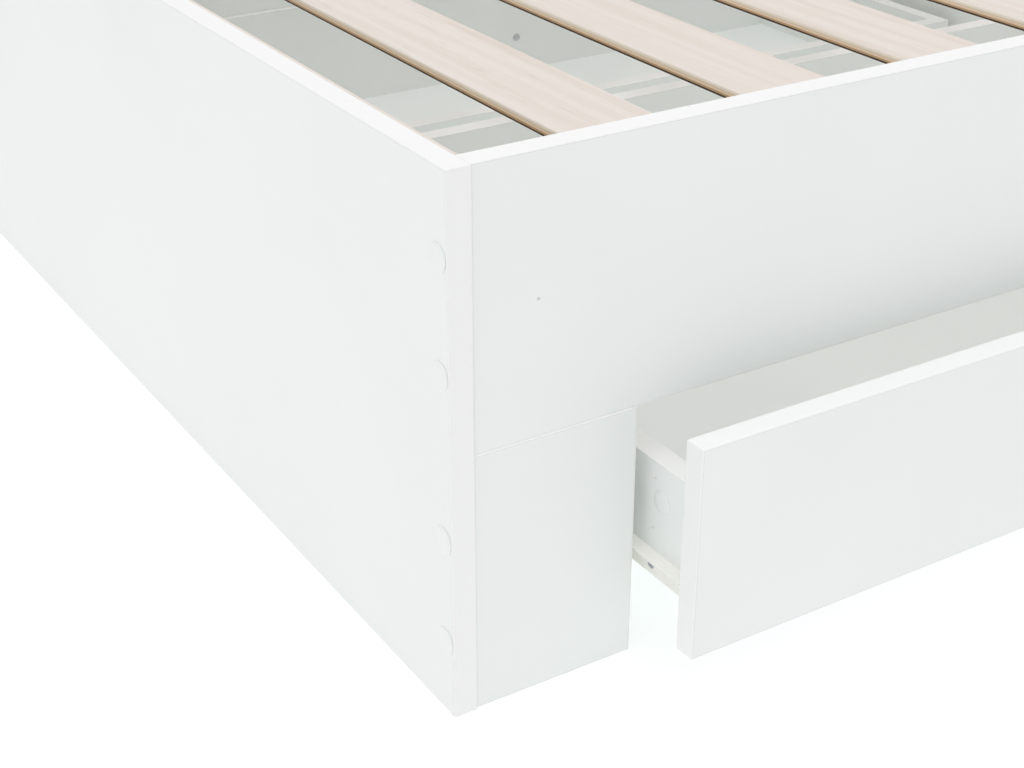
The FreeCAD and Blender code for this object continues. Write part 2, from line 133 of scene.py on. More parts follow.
def vector_maths(tree, operation, *values):
    """One arithmetic step on vectors."""
    made = tree.nodes.new("ShaderNodeVectorMath")
    made.operation = operation
    for socket, value in zip(made.inputs, values):
        feed(tree, socket, value)
    return made.outputs[0]


def smooth_step(tree, value, low, high, start=0.0, end=1.0):
    """start below low, end above high, and a soft change between them."""
    made = add(tree, "ShaderNodeMapRange", {"Value": value, "From Min": low, "From Max": high,
                                            "To Min": start, "To Max": end},
               interpolation_type="SMOOTHSTEP")
    return made.outputs["Result"]


def mix_colours(tree, share, first, second):
    """first where share is 0, second where it is 1."""
    made = add(tree, "ShaderNodeMix", data_type="RGBA")
    feed(tree, made.inputs[0], share)
    for socket, colour in ((made.inputs[6], first), (made.inputs[7], second)):
        feed(tree, socket, colour if isinstance(colour, bpy.types.NodeSocket) else (*colour, 1.0))
    return made.outputs[2]


def noise(tree, place, scale, detail=2.0, roughness=0.5, distortion=0.0):
    """Cloudy random value from 0 to 1; a larger scale gives smaller clouds."""
    made = add(tree, "ShaderNodeTexNoise", {"Vector": place, "Scale": scale, "Detail": detail,
                                            "Roughness": roughness, "Distortion": distortion})
    return made.outputs["Fac"]


def new_group(name, inputs, outputs):
    """Shader node group with named sockets, and the sockets inside it."""
    group = bpy.data.node_groups.new(name, "ShaderNodeTree")
    for socket_name, kind, default in inputs:
        socket = group.interface.new_socket(socket_name, in_out="INPUT", socket_type=kind)
        socket.default_value = default
    for socket_name in outputs:
        group.interface.new_socket(socket_name, in_out="OUTPUT", socket_type="NodeSocketFloat")
    entry = group.nodes.new("NodeGroupInput")
    leave = group.nodes.new("NodeGroupOutput")
    return group, entry.outputs, leave.inputs


def use_group(tree, group, inputs):
    """The group's outputs, placed in a tree with its own values."""
    made = tree.nodes.new("ShaderNodeGroup")
    made.node_tree = group
    for name, value in inputs.items():
        feed(tree, made.inputs[name], value)
    return made.outputs


NUMBER = "NodeSocketFloat"
VECTOR = "NodeSocketVector"

# %% [markdown]
# ## Effects that several finishes share
# A board of this kind has a thin decor skin on its two wide faces and a plastic band round its
# narrow ones. Where the two meet there is a hairline joint about a millimetre from the edge.
# The group `board_edges` finds that place from nothing but the board's centre and half size:
# on a face of a box, the middle one of the three distances to the box's walls is the distance
# to the nearest edge. `moulded_skin` is the fine orange peel and slow tone drift of pressed or
# sprayed surfaces. `wood_grain` is long figure with short dark pores. `scuffs` is handling wear.

# %% Group: edges of a banded board
def build_board_edges():
    """How much of a point on a board is band, hairline joint or outer edge."""
    group, given, out = new_group(
        "board_edges",
        [("Position", VECTOR, (0, 0, 0)), ("Centre", VECTOR, (0, 0, 0)),
         ("Half Size", VECTOR, (1, 1, 1)), ("Thin Axis", VECTOR, (1, 0, 0)),
         ("Band Thickness", NUMBER, 1.0 * millimetre)],
        ["Band", "Joint", "Edge"])
    reach = vector_maths(group, "ABSOLUTE",
                         vector_maths(group, "SUBTRACT", given["Position"], given["Centre"]))
    inside = vector_maths(group, "SUBTRACT", given["Half Size"], reach)
    parts = add(group, "ShaderNodeSeparateXYZ", {0: inside}).outputs
    smaller = maths(group, "MINIMUM", parts["X"], parts["Y"])
    larger = maths(group, "MAXIMUM", parts["X"], parts["Y"])
    to_edge = maths(group, "MAXIMUM", smaller, maths(group, "MINIMUM", larger, parts["Z"]))
    through = vector_maths(group, "MULTIPLY", inside, given["Thin Axis"])
    thin = add(group, "ShaderNodeVectorMath", {0: through, 1: (1, 1, 1)},
               operation="DOT_PRODUCT").outputs["Value"]
    narrow_face = smooth_step(group, thin, 0.4 * millimetre, 0.8 * millimetre)
    band = given["Band Thickness"]
    near_edge = smooth_step(group, to_edge, band, maths(group, "ADD", band, 0.05 * millimetre),
                            1.0, 0.0)
    off_joint = maths(group, "ABSOLUTE", maths(group, "SUBTRACT", to_edge, band))
    line = smooth_step(group, off_joint, 0.05 * millimetre, 0.2 * millimetre, 1.0, 0.0)
    wide_face = maths(group, "SUBTRACT", 1.0, narrow_face)
    feed(group, out["Band"], maths(group, "MAXIMUM", narrow_face, near_edge))
    feed(group, out["Joint"], maths(group, "MULTIPLY", line, wide_face))
    feed(group, out["Edge"], smooth_step(group, to_edge, 0.3 * millimetre, 2.5 * millimetre,
                                         1.0, 0.0))
    return group


board_edges = build_board_edges()


# %% Group: moulded or pressed skin
def build_moulded_skin():
    """Slow drift of tone, orange peel, and a few specks."""
    group, given, out = new_group(
        "moulded_skin",
        [("Position", VECTOR, (0, 0, 0)), ("Offset", VECTOR, (0, 0, 0)),
         ("Peel Scale", NUMBER, 900.0)],
        ["Tone", "Peel", "Speck"])
    place = vector_maths(group, "ADD", given["Position"], given["Offset"])
    feed(group, out["Tone"], noise(group, place, 3.5, 3.0))
    feed(group, out["Peel"], noise(group, place, given["Peel Scale"], 2.0, 0.55))
    feed(group, out["Speck"], smooth_step(group, noise(group, place, 420.0, 1.0), 0.70, 0.78))
    return group


moulded_skin = build_moulded_skin()


# %% Group: wood grain
def build_wood_grain():
    """Figure of the growth rings, streaks along the grain, and short pores."""
    group, given, out = new_group(
        "wood_grain",
        [("Position", VECTOR, (0, 0, 0)), ("Stretch", VECTOR, (1, 0.05, 1)), ("Seed", NUMBER, 0.0)],
        ["Figure", "Streak", "Pores"])
    shift = add(group, "ShaderNodeCombineXYZ",
                {0: maths(group, "MULTIPLY", given["Seed"], 7.3),
                 1: maths(group, "MULTIPLY", given["Seed"], 3.1),
                 2: maths(group, "MULTIPLY", given["Seed"], 5.7)}).outputs[0]
    place = vector_maths(group, "ADD", vector_maths(group, "MULTIPLY", given["Position"],
                                                    given["Stretch"]), shift)
    rings = add(group, "ShaderNodeTexWave",
                {"Vector": place, "Scale": 16.0, "Distortion": 9.0, "Detail": 3.0,
                 "Detail Scale": 1.6, "Detail Roughness": 0.55}, bands_direction="X")
    feed(group, out["Figure"], rings.outputs["Fac"])
    feed(group, out["Streak"], noise(group, place, 55.0, 4.0, 0.6, 0.4))
    feed(group, out["Pores"], smooth_step(group, noise(group, place, 620.0, 2.0), 0.60, 0.72))
    return group


wood_grain = build_wood_grain()


# %% Group: scuffs
def build_scuffs():
    """Wear on edges, broken up, and long rub marks on faces."""
    group, given, out = new_group(
        "scuffs", [("Position", VECTOR, (0, 0, 0)), ("Edge", NUMBER, 0.0)], ["Wear", "Rub"])
    broken = smooth_step(group, noise(group, given["Position"], 95.0, 4.0, 0.65), 0.52, 0.66)
    feed(group, out["Wear"], maths(group, "MULTIPLY", given["Edge"], broken))
    long_marks = vector_maths(group, "MULTIPLY", given["Position"], (40.0, 40.0, 7.0))
    feed(group, out["Rub"], smooth_step(group, noise(group, long_marks, 1.0, 3.0, 0.6, 1.2),
                                        0.62, 0.74))
    return group


scuffs = build_scuffs()
print("shader groups:", [g.name for g in bpy.data.node_groups])

# %% [markdown]
# ## Finishes
# Each finish is one Principled BSDF. Whatever is the same all over the surface, such as coat
# or metal, is set on the shader's own socket, and only what changes from place to place comes
# through nodes. Patterns read Object coordinates: a finished piece keeps its place in its mesh,
# so those coordinates are the bed's own, and a board's grain never slides when a drawer opens.

# %% A material to start from
def new_material(name, colour, roughness, **sockets):
    """Material, its tree, its shader and its Object coordinates."""
    material = bpy.data.materials.new(name)
    material.use_nodes = True
    material.diffuse_color = (*colour, 1.0)
    tree = material.node_tree
    surface = tree.nodes["Principled BSDF"]
    surface.inputs["Base Color"].default_value = (*colour, 1.0)
    surface.inputs["Roughness"].default_value = roughness
    for socket, value in sockets.items():
        surface.inputs[socket.replace("_", " ")].default_value = value
    place = tree.nodes.new("ShaderNodeTexCoord").outputs["Object"]
    return material, tree, surface, place


def bump(tree, surface, height, depth, strength=1.0):
    """Height, in units of depth, felt by the light through the surface's normal."""
    made = add(tree, "ShaderNodeBump", {"Strength": strength, "Distance": depth,
                                        "Height": height})
    tree.links.new(made.outputs["Normal"], surface.inputs["Normal"])


# %% [markdown]
# ### White board
# The decor skin is a very slightly cool, satin white with a fine pressed texture, and the band
# is a shade brighter and smoother. Every board gets its own copy of the material, because the
# joint line needs that board's own centre and half size, which the frame gives.

# %% White board
face_white = (0.882, 0.905, 0.897)
face_white_low = (0.860, 0.886, 0.878)
band_white = (0.902, 0.906, 0.904)
joint_grey = (0.60, 0.61, 0.60)
worn_white = (0.74, 0.73, 0.71)
board_gloss = {"Specular_IOR_Level": 0.42}
board_peel_depth = 0.03 * millimetre


def white_board(node):
    """The banded board's own material, with its centre and half size set in it."""
    low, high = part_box(node)
    half = (high - low) / 2
    thin = min(range(3), key=lambda axis: half[axis])
    material, tree, surface, place = new_material("white_board_" + node, face_white, 0.36,
                                                  **board_gloss)
    edges = use_group(tree, board_edges, {
        "Position": place, "Centre": (low + high) / 2, "Half Size": half,
        "Thin Axis": [1.0 if axis == thin else 0.0 for axis in range(3)]})
    skin = use_group(tree, moulded_skin, {"Position": place, "Offset": low * 3.7,
                                          "Peel Scale": 760.0})
    wear = use_group(tree, scuffs, {"Position": place, "Edge": edges["Edge"]})
    colour = mix_colours(tree, smooth_step(tree, skin["Tone"], 0.35, 0.65), face_white_low,
                         face_white)
    colour = mix_colours(tree, maths(tree, "MULTIPLY", skin["Speck"], 0.04), colour, worn_white)
    colour = mix_colours(tree, edges["Band"], colour, band_white)
    colour = mix_colours(tree, maths(tree, "MULTIPLY", wear["Wear"], 0.16), colour, worn_white)
    colour = mix_colours(tree, maths(tree, "MULTIPLY", edges["Joint"], 0.55), colour, joint_grey)
    tree.links.new(colour, surface.inputs["Base Color"])
    satin = smooth_step(tree, skin["Peel"], 0.3, 0.7, 0.37, 0.43)
    rubbed = maths(tree, "MULTIPLY_ADD", wear["Rub"], -0.07, satin)
    tree.links.new(maths(tree, "MULTIPLY_ADD", edges["Band"], -0.06, rubbed),
                   surface.inputs["Roughness"])
    height = maths(tree, "SUBTRACT", maths(tree, "MULTIPLY", skin["Peel"], 0.35),
                   edges["Joint"])
    bump(tree, surface, height, board_peel_depth, 0.35)
    return material


# %% [markdown]
# ### Slat plywood
# A slat is rotary-cut veneer: a pale, faintly pink top with wide lazy figure, and an edge where
# the plies show as bands, with a dark glue line under each, and the lowest fifth of the edge near
# black.
# The bands follow height only, so the Z coordinate and the slat's own box are enough. Each slat
# carries a random number of its own, written by the Geometry Nodes tree that makes the row, and
# the grain reads it as a seed, so no two slats have the same figure.

# %% Slat plywood
veneer_pale = (0.780, 0.722, 0.668)
veneer_pink = (0.735, 0.662, 0.602)
veneer_dark = (0.600, 0.485, 0.392)
# The first two stops make the lowest fifth of the edge near black.
ply_stops = ((0.00, (0.030, 0.018, 0.012)), (0.21, (0.045, 0.026, 0.017)),
             (0.26, (0.460, 0.270, 0.140)), (0.34, (0.640, 0.420, 0.240)),
             (0.38, (0.420, 0.260, 0.150)), (0.43, (0.820, 0.620, 0.430)),
             (0.62, (0.860, 0.700, 0.530)), (0.66, (0.620, 0.450, 0.310)),
             (0.71, (0.870, 0.750, 0.610)), (1.00, (0.850, 0.770, 0.690)))
veneer_relief = 0.08 * millimetre


def slat_plywood():
    """Veneer on the flat faces and a stack of plies on the edges."""
    low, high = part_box("slats")
    material, tree, surface, place = new_material("slat_plywood", veneer_pale, 0.52,
                                                  Specular_IOR_Level=0.35)
    seed = add(tree, "ShaderNodeAttribute", attribute_name="slat_seed").outputs["Fac"]
    grain = use_group(tree, wood_grain, {"Position": place, "Stretch": (1.0, 0.045, 1.0),
                                         "Seed": seed})
    colour = mix_colours(tree, smooth_step(tree, grain["Figure"], 0.15, 0.95, 0.0, 0.55),
                         veneer_pale, veneer_pink)
    colour = mix_colours(tree, smooth_step(tree, grain["Streak"], 0.50, 0.72, 0.0, 0.30),
                         colour, veneer_dark)
    colour = mix_colours(tree, maths(tree, "MULTIPLY", grain["Pores"], 0.35), colour, veneer_dark)
    tone = smooth_step(tree, seed, 0.0, 1.0, 0.0, 0.22)
    colour = mix_colours(tree, tone, colour, veneer_pink)
    height = add(tree, "ShaderNodeSeparateXYZ", {0: place}).outputs["Z"]
    level = add(tree, "ShaderNodeMapRange", {"Value": height, "From Min": low.z,
                                             "From Max": high.z}).outputs["Result"]
    wander = maths(tree, "MULTIPLY_ADD", maths(tree, "SUBTRACT", grain["Streak"], 0.5), 0.10,
                   level)
    plies = tree.nodes.new("ShaderNodeValToRGB")
    while len(plies.color_ramp.elements) < len(ply_stops):
        plies.color_ramp.elements.new(0.5)
    for element, (stop, ply_colour) in zip(plies.color_ramp.elements, ply_stops):
        element.position = stop
        element.color = (*ply_colour, 1.0)
    tree.links.new(wander, plies.inputs["Fac"])
    upright = add(tree, "ShaderNodeSeparateXYZ",
                  {0: tree.nodes.new("ShaderNodeNewGeometry").outputs["True Normal"]}).outputs["Z"]
    side = smooth_step(tree, maths(tree, "ABSOLUTE", upright), 0.45, 0.80, 1.0, 0.0)
    colour = mix_colours(tree, side, colour, plies.outputs["Color"])
    tree.links.new(colour, surface.inputs["Base Color"])
    rough = maths(tree, "MULTIPLY_ADD", grain["Streak"], 0.18, 0.42)
    tree.links.new(rough, surface.inputs["Roughness"])
    relief = maths(tree, "MULTIPLY_ADD", grain["Pores"], -1.0,
                   maths(tree, "MULTIPLY", grain["Streak"], 0.6))
    bump(tree, surface, relief, veneer_relief, 0.7)
    return material


# %% [markdown]
# ### Other woods, metals and plastics
# The battens are planed pine with its grain along the bed, the dowels are beech, and the drawer
# bottoms are white-lacquered hardboard, which keeps a faint net from the press. The slides are
# pressed steel under cream powder coat, which has a coarser orange peel than the boards. The
# handles are brushed along their length. Screws are zinc, caps and rollers are plastics.

# %% Plain woods
def plain_wood(name, pale, dark, stretch, roughness):
    """Solid wood; stretch is small along the grain and 1 across it."""
    material, tree, surface, place = new_material(name, pale, roughness, Specular_IOR_Level=0.35)
    grain = use_group(tree, wood_grain, {"Position": place, "Stretch": stretch, "Seed": 0.37})
    colour = mix_colours(tree, smooth_step(tree, grain["Figure"], 0.3, 0.9, 0.0, 0.6), pale, dark)
    colour = mix_colours(tree, maths(tree, "MULTIPLY", grain["Pores"], 0.3), colour, dark)
    tree.links.new(colour, surface.inputs["Base Color"])
    tree.links.new(maths(tree, "MULTIPLY_ADD", grain["Streak"], 0.2, roughness - 0.1),
                   surface.inputs["Roughness"])
    bump(tree, surface, grain["Streak"], 0.1 * millimetre, 0.5)
    return material


hardboard_white = (0.882, 0.912, 0.912)
hardboard_white_low = (0.862, 0.893, 0.893)


def white_hardboard():
    """Lacquered hardboard, with the faint net that the press leaves."""
    material, tree, surface, place = new_material("white_hardboard", face_white, 0.5,
                                                  Specular_IOR_Level=0.38)
    skin = use_group(tree, moulded_skin, {"Position": place, "Peel Scale": 420.0})
    net = add(tree, "ShaderNodeTexVoronoi", {"Vector": place, "Scale": 520.0},
              feature="DISTANCE_TO_EDGE").outputs["Distance"]
    colour = mix_colours(tree, smooth_step(tree, skin["Tone"], 0.35, 0.65), hardboard_white_low,
                         hardboard_white)
    tree.links.new(colour, surface.inputs["Base Color"])
    tree.links.new(smooth_step(tree, skin["Peel"], 0.3, 0.7, 0.44, 0.56),
                   surface.inputs["Roughness"])
    bump(tree, surface, smooth_step(tree, net, 0.0, 0.25), 0.05 * millimetre, 0.5)
    return material


# %% Metals and plastics
def sprayed(name, colour, shade, roughness, peel_scale, peel_depth, **sockets):
    """Powder coat, nylon or moulded plastic: one colour that drifts a little, and orange peel."""
    material, tree, surface, place = new_material(name, colour, roughness, **sockets)
    skin = use_group(tree, moulded_skin, {"Position": place, "Offset": (0.3, 0.1, 0.7),
                                          "Peel Scale": peel_scale})
    drift = mix_colours(tree, smooth_step(tree, skin["Tone"], 0.3, 0.7), shade, colour)
    drift = mix_colours(tree, maths(tree, "MULTIPLY", skin["Speck"], 0.15), drift, shade)
    tree.links.new(drift, surface.inputs["Base Color"])
    tree.links.new(smooth_step(tree, skin["Peel"], 0.3, 0.7, roughness - 0.05, roughness + 0.07),
                   surface.inputs["Roughness"])
    bump(tree, surface, skin["Peel"], peel_depth, 0.6)
    return material


def brushed(name, colour, shade, roughness, brush):
    """Bare metal with fine lines; brush is small along the lines and large across them."""
    material, tree, surface, place = new_material(name, colour, roughness, Metallic=1.0)
    lines = noise(tree, vector_maths(tree, "MULTIPLY", place, brush), 1.0, 3.0, 0.6)
    tone = noise(tree, place, 30.0, 2.0)
    drift = mix_colours(tree, smooth_step(tree, tone, 0.3, 0.7), shade, colour)
    tree.links.new(drift, surface.inputs["Base Color"])
    tree.links.new(smooth_step(tree, lines, 0.3, 0.7, roughness - 0.08, roughness + 0.12),
                   surface.inputs["Roughness"])
    bump(tree, surface, lines, 0.02 * millimetre, 0.5)
    return material


# %% Every finish, under the name of its slot
pine_pale, pine_dark = (0.79, 0.69, 0.53), (0.68, 0.54, 0.37)
beech_pale, beech_dark = (0.60, 0.42, 0.26), (0.45, 0.28, 0.16)
cream, cream_low = (0.90, 0.895, 0.85), (0.865, 0.86, 0.805)
nylon, nylon_low = (0.84, 0.84, 0.80), (0.77, 0.77, 0.72)
satin_metal, satin_metal_low = (0.70, 0.70, 0.69), (0.60, 0.60, 0.59)
zinc, zinc_low = (0.62, 0.64, 0.68), (0.50, 0.51, 0.54)
along_the_bed, mostly_upright = (0.05, 1.0, 1.0), (1.0, 1.0, 0.4)
powder_peel, plastic_peel = 0.008 * millimetre, 0.02 * millimetre
lines_along_handle, lines_all_ways = (60.0, 2600.0, 2600.0), (900.0, 900.0, 900.0)

finish = {
    "slat_plywood": slat_plywood(),
    "pine_batten": plain_wood("pine_batten", pine_pale, pine_dark, along_the_bed, 0.6),
    "beech_dowel": plain_wood("beech_dowel", beech_pale, beech_dark, mostly_upright, 0.6),
    "white_hardboard": white_hardboard(),
    "cream_steel": sprayed("cream_steel", cream, cream_low, 0.30, 1100.0, powder_peel,
                           Coat_Weight=0.25, Coat_Roughness=0.2),
    "roller_nylon": sprayed("roller_nylon", nylon, nylon_low, 0.42, 1500.0, plastic_peel,
                            Subsurface_Weight=0.05),
    "cap_plastic": sprayed("cap_plastic", face_white, face_white_low, 0.38, 1300.0,
                           plastic_peel),
    "handle_metal": brushed("handle_metal", satin_metal, satin_metal_low, 0.32,
                            lines_along_handle),
    "zinc_steel": brushed("zinc_steel", zinc, zinc_low, 0.30, lines_all_ways),
}
print("finishes:", sorted(finish))

# %% [markdown]
# ### Board materials go on
# A board keeps its CAD shape, because its holes, notches and eased edges are already right. Only
# the material in its slot changes. Loops do this for all the frame boards and all the drawers.

# %% Boards and other parts that keep their CAD shape
drawer_names = ["left_foot", "left_head", "right_foot", "right_head"]


def paint(node, material):
    """The CAD node shows this material and no other."""
    mesh = frame["nodes"][node].data
    mesh.materials.clear()
    mesh.materials.append(material)


banded = [node for node, slot in slot_of_node.items() if slot == "white_board"]
for node in banded:
    paint(node, white_board(node))
for node, slot in slot_of_node.items():
    if slot != "white_board":
        paint(node, finish[slot])
print("banded boards:", len(banded), "other nodes:", len(slot_of_node) - len(banded))

# %% [markdown]
# ## Reading the small parts out of a CAD node
# One CAD node may hold many loose parts, such as all the screws. To put a finished part on each
# of them, the node's mesh is merged in a copy and split into its islands. An island's box, its
# long axis and the end where it is widest say where a screw sits and which way its head faces.

# %% Islands of a node
same_point = 1e-6


def merged_copy(node):
    """The node's mesh in an editable copy, its loose triangles joined."""
    work = bmesh.new()
    work.from_mesh(frame["nodes"][node].data)
    bmesh.ops.remove_doubles(work, verts=work.verts, dist=same_point)
    return work


def loose_parts(work):
    """Lists of vertices that hang together."""
    seen, parts = set(), []
    for start in work.verts:
        if start in seen:
            continue
        seen.add(start)
        part, waiting = [], [start]
        while waiting:
            vertex = waiting.pop()
            part.append(vertex)
            for edge in vertex.link_edges:
                other = edge.other_vert(vertex)
                if other not in seen:
                    seen.add(other)
                    waiting.append(other)
        parts.append(part)
    return parts


def islands(node):
    """Points of each loose part of a CAD node, sorted by place."""
    work = merged_copy(node)
    parts = [[vertex.co.copy() for vertex in part] for part in loose_parts(work)]
    work.free()
    return sorted(parts, key=lambda part: tuple(round(sum(point[axis] for point in part)
                                                      / len(part), 4) for axis in range(3)))


def box_of(points):
    """Lowest and highest corner of the box round some points."""
    low = Vector(min(point[axis] for point in points) for axis in range(3))
    high = Vector(max(point[axis] for point in points) for axis in range(3))
    return low, high


def seat_of_screw(points):
    """Middle of a screw's head face, the way it faces, its length, and its two end radii."""
    low, high = box_of(points)
    size = high - low
    along = max(range(3), key=lambda axis: size[axis])
    centre = (low + high) / 2

    def radius_near(end):
        """Largest distance from the axis among the points at this end."""
        near = [point - centre for point in points if abs(point[along] - end) < 0.2 * millimetre]
        return max(math.sqrt(max(0.0, away.length_squared - away[along] ** 2)) for away in near)

    ends = {1: radius_near(high[along]), -1: radius_near(low[along])}
    way = max(ends, key=ends.get)
    seat = centre.copy()
    seat[along] = high[along] if way > 0 else low[along]
    facing = Vector((0, 0, 0))
    facing[along] = way
    return {"seat": seat, "facing": facing, "length": round(size[along] / millimetre, 1),
            "head": ends[way] / millimetre, "tail": ends[-way] / millimetre}


screw_seats = [seat_of_screw(part) for part in islands("wood_screws")]
cap_boxes = [box_of(part) for part in islands("cover_caps")]
print("screws:", len(screw_seats), "caps:", len(cap_boxes))

# %% [markdown]
# ## Turned shapes
# Screws, caps and rollers are all round, so each starts as a turned profile: a list of radius
# and height, spun about Z. A profile that starts and ends on the axis closes into poles, and one
# that doesn't joins its end to its start, which leaves a bore. Edges sharper than 35 degrees stay
# crisp and the rest are shaded smooth.

# %% Turning
crisp_angle = math.radians(35.0)


def shade(mesh):
    """Smooth shading, with the sharper edges left crisp."""
    mesh.polygons.foreach_set("use_smooth", [True] * len(mesh.polygons))
    mesh.set_sharp_from_angle(angle=crisp_angle)
    mesh.update()


def turned(name, profile, steps=48):
    """Mesh object of a profile in millimetres, spun about Z."""
    work = bmesh.new()
    rings = []
    for radius, height in profile:
        if radius == 0:
            rings.append([work.verts.new((0, 0, height * millimetre))])
            continue
        rings.append([work.verts.new((radius * millimetre * math.cos(turn),
                                      radius * millimetre * math.sin(turn),
                                      height * millimetre))
                      for turn in (2 * math.pi * step / steps for step in range(steps))])
    pairs = list(zip(rings, rings[1:]))
    if profile[0][0] and profile[-1][0]:
        pairs.append((rings[-1], rings[0]))
    for first, second in pairs:
        for step in range(steps):
            after = (step + 1) % steps
            corners = [first[step % len(first)], first[after % len(first)],
                       second[after % len(second)], second[step % len(second)]]
            corners = [c for i, c in enumerate(corners) if c not in corners[:i]]
            work.faces.new(corners)
    bmesh.ops.recalc_face_normals(work, faces=work.faces)
    mesh = bpy.data.meshes.new(name)
    work.to_mesh(mesh)
    work.free()
    shade(mesh)
    return bpy.data.objects.new(name, mesh)


def plain_copy(name, maker):
    """What an object's modifiers make of it, as a plain mesh object of its own."""
    bpy.context.scene.collection.objects.link(maker)
    bpy.context.view_layer.update()
    seen = maker.evaluated_get(bpy.context.evaluated_depsgraph_get())
    mesh = bpy.data.meshes.new_from_object(seen)
    mesh.name = name
    bpy.data.objects.remove(maker)
    return bpy.data.objects.new(name, mesh)


# %% Cutting a recess
sliver = 0.004 * millimetre
flat_angle = math.radians(0.5)


def cut_away(target, cutter):
    """The target without the cutter's space, cleared of the slivers that a cut leaves."""
    bpy.context.scene.collection.objects.link(cutter)
    cutting = target.modifiers.new("cut", "BOOLEAN")
    cutting.operation = "DIFFERENCE"
    cutting.solver = "EXACT"
    cutting.object = cutter
    made = plain_copy(target.name, target)
    bpy.data.objects.remove(cutter)
    work = bmesh.new()
    work.from_mesh(made.data)
    bmesh.ops.remove_doubles(work, verts=work.verts, dist=sliver)
    bmesh.ops.dissolve_degenerate(work, edges=work.edges, dist=sliver)
    bmesh.ops.dissolve_limit(work, angle_limit=flat_angle, verts=work.verts, edges=work.edges)
    bmesh.ops.triangulate(work, faces=work.faces)
    work.to_mesh(made.data)
    work.free()
    shade(made.data)
    return made


def cross_cutter(length, width, depth, top):
    """Closed cross-shaped plug, narrower at the bottom, that cuts a screwdriver recess."""
    work = bmesh.new()
    rings = []
    mouth = (length / 2, width / 2, top + depth)
    bottom = (length * 0.22, width * 0.36, top - depth)
    for half, arm, height in (mouth, bottom):
        corners = [(half, -arm), (half, arm), (arm, arm)]
        outline = [Matrix.Rotation(math.pi / 2 * quarter, 2) @ Vector(corner)
                   for quarter in range(4) for corner in corners]
        rings.append([work.verts.new((x * millimetre, y * millimetre, height * millimetre))
                      for x, y in outline])
    upper, lower = rings
    for side in range(len(upper)):
        after = (side + 1) % len(upper)
        work.faces.new((upper[side], lower[side], lower[after], upper[after]))
    work.faces.new(upper)
    work.faces.new(lower[::-1])
    bmesh.ops.recalc_face_normals(work, faces=work.faces)
    mesh = bpy.data.meshes.new("recess")
    work.to_mesh(mesh)
    work.free()
    return bpy.data.objects.new("recess", mesh)


# %% [markdown]
# ## Geometry Nodes: one part at many places
# A row of screws is one master part and a list of seats. The tree below gets the seats as bare
# points, each with the way it faces, stands a copy of the master on every point, and turns each
# copy about its own axis by a seeded random angle, because no one lines up screw slots. Realize
# Instances makes real faces of the copies, and Set Material gives them their finish.

# %% Tree: parts on seats
def geometry_tree(name, inputs):
    """Geometry Nodes tree with Geometry first, then the named inputs."""
    tree = bpy.data.node_groups.new(name, "GeometryNodeTree")
    tree.interface.new_socket("Geometry", in_out="INPUT", socket_type="NodeSocketGeometry")
    for socket_name, kind in inputs:
        tree.interface.new_socket(socket_name, in_out="INPUT", socket_type=kind)
    tree.interface.new_socket("Geometry", in_out="OUTPUT", socket_type="NodeSocketGeometry")
    given = tree.nodes.new("NodeGroupInput").outputs
    return tree, given, tree.nodes.new("NodeGroupOutput").inputs


def build_parts_on_seats():
    """Tree that stands a part on every point, facing as the point says."""
    tree, given, out = geometry_tree(
        "parts_on_seats", [("Part", "NodeSocketObject"), ("Seed", "NodeSocketInt"),
                           ("Turn", NUMBER), ("Finish", "NodeSocketMaterial")])
    part = add(tree, "GeometryNodeObjectInfo", {"Object": given["Part"]})
    facing = add(tree, "GeometryNodeInputNamedAttribute", {"Name": "facing"},
                 data_type="FLOAT_VECTOR")
    stand = add(tree, "FunctionNodeAlignRotationToVector",
                {"Vector": facing.outputs["Attribute"]}, axis="Z")
    turn = add(tree, "FunctionNodeRandomValue", data_type="FLOAT")
    feed(tree, turn.inputs[3], given["Turn"])
    feed(tree, turn.inputs["Seed"], given["Seed"])
    about_z = add(tree, "ShaderNodeCombineXYZ", {2: turn.outputs[1]})
    twist = add(tree, "FunctionNodeEulerToRotation", {0: about_z.outputs[0]})
    both = add(tree, "FunctionNodeRotateRotation",
               {"Rotation": stand.outputs["Rotation"], "Rotate By": twist.outputs[0]},
               rotation_space="LOCAL")
    placed = add(tree, "GeometryNodeInstanceOnPoints",
                 {"Points": given["Geometry"], "Instance": part.outputs["Geometry"],
                  "Rotation": both.outputs["Rotation"]})
    real = add(tree, "GeometryNodeRealizeInstances", {"Geometry": placed.outputs[0]})
    feed(tree, out["Geometry"],
         add(tree, "GeometryNodeSetMaterial", {"Geometry": real.outputs[0],
                                               "Material": given["Finish"]}).outputs[0])
    return tree


parts_on_seats = build_parts_on_seats()


def run_tree(name, points, tree, values, facings=None):
    """Runs a tree on bare points and returns its result as a plain mesh object."""
    mesh = bpy.data.meshes.new(name + "_seats")
    mesh.from_pydata([tuple(point) for point in points], [], [])
    if facings:
        ways = mesh.attributes.new("facing", "FLOAT_VECTOR", "POINT")
        ways.data.foreach_set("vector", [number for way in facings for number in way])
    maker = bpy.data.objects.new(name + "_maker", mesh)
    modifier = maker.modifiers.new("tree", "NODES")
    modifier.node_group = tree
    sockets = {item.name: item.identifier for item in tree.interface.items_tree
               if item.in_out == "INPUT"}
    for input_name, value in values.items():
        modifier[sockets[input_name]] = value
    return plain_copy(name, maker)


def put_on(piece, body, slot, *nodes):
    """The piece joins the scene, rides on its body and stands for its CAD nodes."""
    bpy.context.scene.collection.objects.link(piece)
    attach(piece, body)
    if nodes:
        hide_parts(*nodes)
    print(piece.name, "on", body, "-", len(piece.data.polygons), "faces")
    return piece


# %% [markdown]
# ## Screws
# A countersunk screw with a cross recess holds each slat end to its batten, the battens to the
# rails and the slides to the boards. A handle is held from inside by two screws with a rounded
# pan head. Each is turned from point to head, then a tapered cross is cut into it. One master is
# made for each kind and length, with its head a hair proud, as a driven screw stands.

